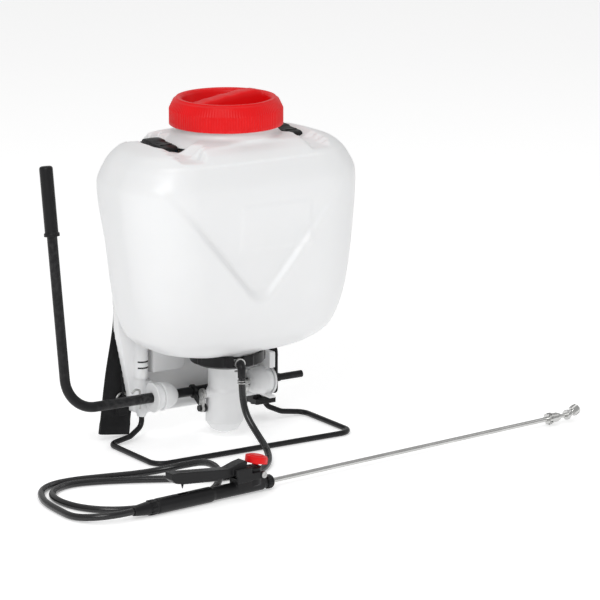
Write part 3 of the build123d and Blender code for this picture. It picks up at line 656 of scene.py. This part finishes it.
for node, voxel, smooth in [
    ("gun_body", 0.8, 9), ("trigger_lever", 0.7, 5), ("lock_knob", 0.6, 3), ("clamp_ring", 0.9, 1),
    ("pump_cylinder", 0.8, 2), ("bearing_bush_left", 0.8, 2), ("bearing_bush_right", 0.8, 2),
    ("side_plate", 0.7, 3), ("stand_clamp", 0.7, 3), ("lever_grip", 0.7, 3),
]:
    moulded(node, voxel * (1.0), smooth)

for node, obj in NODES.items():
    obj.data.materials.clear()
    obj.data.materials.append(FINISH[SLOT_OF[node]])


# ------------------------------------------------------------------ strap anchors and tabs

GROOVE_X, GROOVE_FLOOR = 105.0, 441.2
ANCHOR_SECTIONS = [  # y, half width, top
    (-21, 10.0, 443.0), (-20.5, 11.8, 445.0), (-19, 12.7, 446.6), (-15, 13.0, 448.0), (0, 13.0, 449.2),
    (14, 13.0, 449.8), (16, 13.0, 451.4), (30, 13.0, 452.2), (37, 13.0, 451.2), (40, 12.5, 448.6),
    (41.2, 11.5, 446.0),
]


def make_anchors():
    """The black anchor that holds each strap down in its shoulder groove."""
    pads = []
    for side in (-1, 1):
        rings = []
        for y, w, top in ANCHOR_SECTIONS:
            bevel = min(2.0, (top - GROOVE_FLOOR) / 2.5)
            outline = [(-w, GROOVE_FLOOR), (w, GROOVE_FLOOR), (w, top - bevel),
                       (w - 0.3 * bevel, top - 0.3 * bevel),
                       (w - bevel, top), (0, top + 0.4), (bevel - w, top),
                       (0.3 * bevel - w, top - 0.3 * bevel), (-w, top - bevel)]
            rings.append([Vector((side * GROOVE_X + x, y, z)) * MM for x, z in outline])
        pads.append(loft_mesh("pad", rings))
        for y in (-8, 4):
            ridge = [[Vector((side * GROOVE_X + x, y + dy, z)) * MM for dy, z in
                      ((-1.4, 447.5), (1.4, 447.5), (0.9, 450.0), (-0.9, 450.0))] for x in (-9, 9)]
            pads.append(loft_mesh("ridge", ridge))
    mesh = joined("anchor_pads", pads)
    to_object("anchor_pads", mesh, "frame", "black_plastic", ["strap_anchors"], sharp=40)


make_anchors()


def make_tabs():
    """A short webbing tab folded round each ring at the frame's feet, stitched to itself."""
    tabs = []
    for side in (-1, 1):
        rings = []
        for k in range(19):
            x = side * (115.4 + 17.2 * k / 18)
            wave = 0.12 * math.sin(2.3 * k)
            outline = [(93.9, 32.3), (94.2, 33.0), (94.2, 44.5), (93.9, 47.6), (92.9, 49.1), (91.7, 49.4),
                       (90.5, 49.1), (89.5, 47.6), (89.2, 44.5), (89.2, 33.0), (89.5, 32.3), (91.2, 32.9),
                       (91.3, 40.0), (91.6, 43.0), (91.8, 43.0), (92.1, 40.0), (92.2, 32.9)]
            rings.append([Vector((x, y + wave, z)) * MM for y, z in outline])
        tabs.append(loft_mesh("tab", rings))
    to_object("webbing_tabs", joined("webbing_tabs", tabs), "frame", "webbing", ["strap_tabs"])


make_tabs()


# ------------------------------------------------------------------ stage

def make_floor():
    mesh = bpy.data.meshes.new("floor")
    mesh.from_pydata([(-30, -30, 0), (30, -30, 0), (30, 60, 0), (-30, 60, 0)], [], [(0, 1, 2, 3)])
    floor = bpy.data.objects.new("floor", mesh)
    bpy.context.scene.collection.objects.link(floor)
    floor.location.z = -0.0003
    paper = surface("floor_paper", (0.9, 0.9, 0.9), 0.8, 0.05, 2.0, 300.0, 0.02, tint=0.995)
    shader = paper.node_tree.nodes["Principled BSDF"]
    shader.inputs["Emission Color"].default_value = (1.0, 1.0, 1.0, 1.0)
    shader.inputs["Emission Strength"].default_value = 0.4
    mesh.materials.append(paper)


def area_light(name, place, target, size, power):
    light = bpy.data.lights.new(name, "AREA")
    light.shape = "RECTANGLE"
    light.size, light.size_y = size
    light.energy = power
    obj = bpy.data.objects.new(name, light)
    bpy.context.scene.collection.objects.link(obj)
    obj.location = place
    obj.rotation_mode = "QUATERNION"
    obj.rotation_quaternion = (Vector(target) - Vector(place)).to_track_quat("-Z", "Y")


make_floor()
area_light("key", (-1.9, -2.0, 2.2), (0, 0, 0.25), (1.2, 1.2), 37.0)
area_light("side", (2.6, -0.6, 1.5), (0, 0, 0.25), (1.2, 1.4), 4.0)
area_light("top", (0.2, 0.8, 3.0), (0, 0, 0.3), (2.4, 2.0), 14.0)
bpy.context.scene.view_settings.view_transform = "Standard"
world = bpy.data.worlds.new("world")
world.use_nodes = True
world.node_tree.nodes["Background"].inputs["Color"].default_value = (1.0, 1.0, 1.0, 1.0)
world.node_tree.nodes["Background"].inputs["Strength"].default_value = 0.52
bpy.context.scene.world = world
